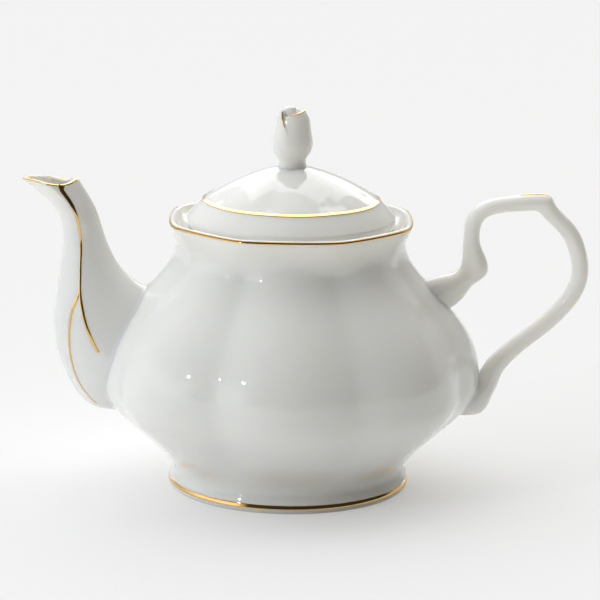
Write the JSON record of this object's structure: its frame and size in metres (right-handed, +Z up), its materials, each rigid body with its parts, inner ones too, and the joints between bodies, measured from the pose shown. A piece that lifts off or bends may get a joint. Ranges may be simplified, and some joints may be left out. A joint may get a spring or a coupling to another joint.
{
  "type": "teapot",
  "caption": "White glazed teapot with soft lobes, a leaf-shaped spout, a scroll handle, fine gold lines and a lift-off lid with a rosebud knob.",
  "frame": {"origin": "middle of the flat ring that the foot stands on", "axes": "+Z up along the teapot's axis, +X towards the handle, so the spout points to -X and +Y is its right-hand side seen from the handle"},
  "size_m": [0.2339, 0.1582, 0.1595],
  "materials": {
    "china": "clear high-gloss glaze on white bone china",
    "gold": "bright fired-on gold, thin, on the glaze"
  },
  "bodies": {
    "pot": {"pot_body": "china", "rim_gilding": "gold", "foot_gilding": "gold", "spout": "china", "spout_lip_gilding": "gold", "spout_stem_gilding": "gold", "handle": "china", "handle_gilding": "gold"},
    "lid": {"lid": "china", "lid_gilding": "gold", "knob": "china", "knob_gilding": "gold"}
  },
  "joints": [
    {"name": "lid_lift", "type": "slide", "parent": "pot", "child": "lid", "axis": [0, 0, 1], "range_m": [0, 0.06]}
  ]
}
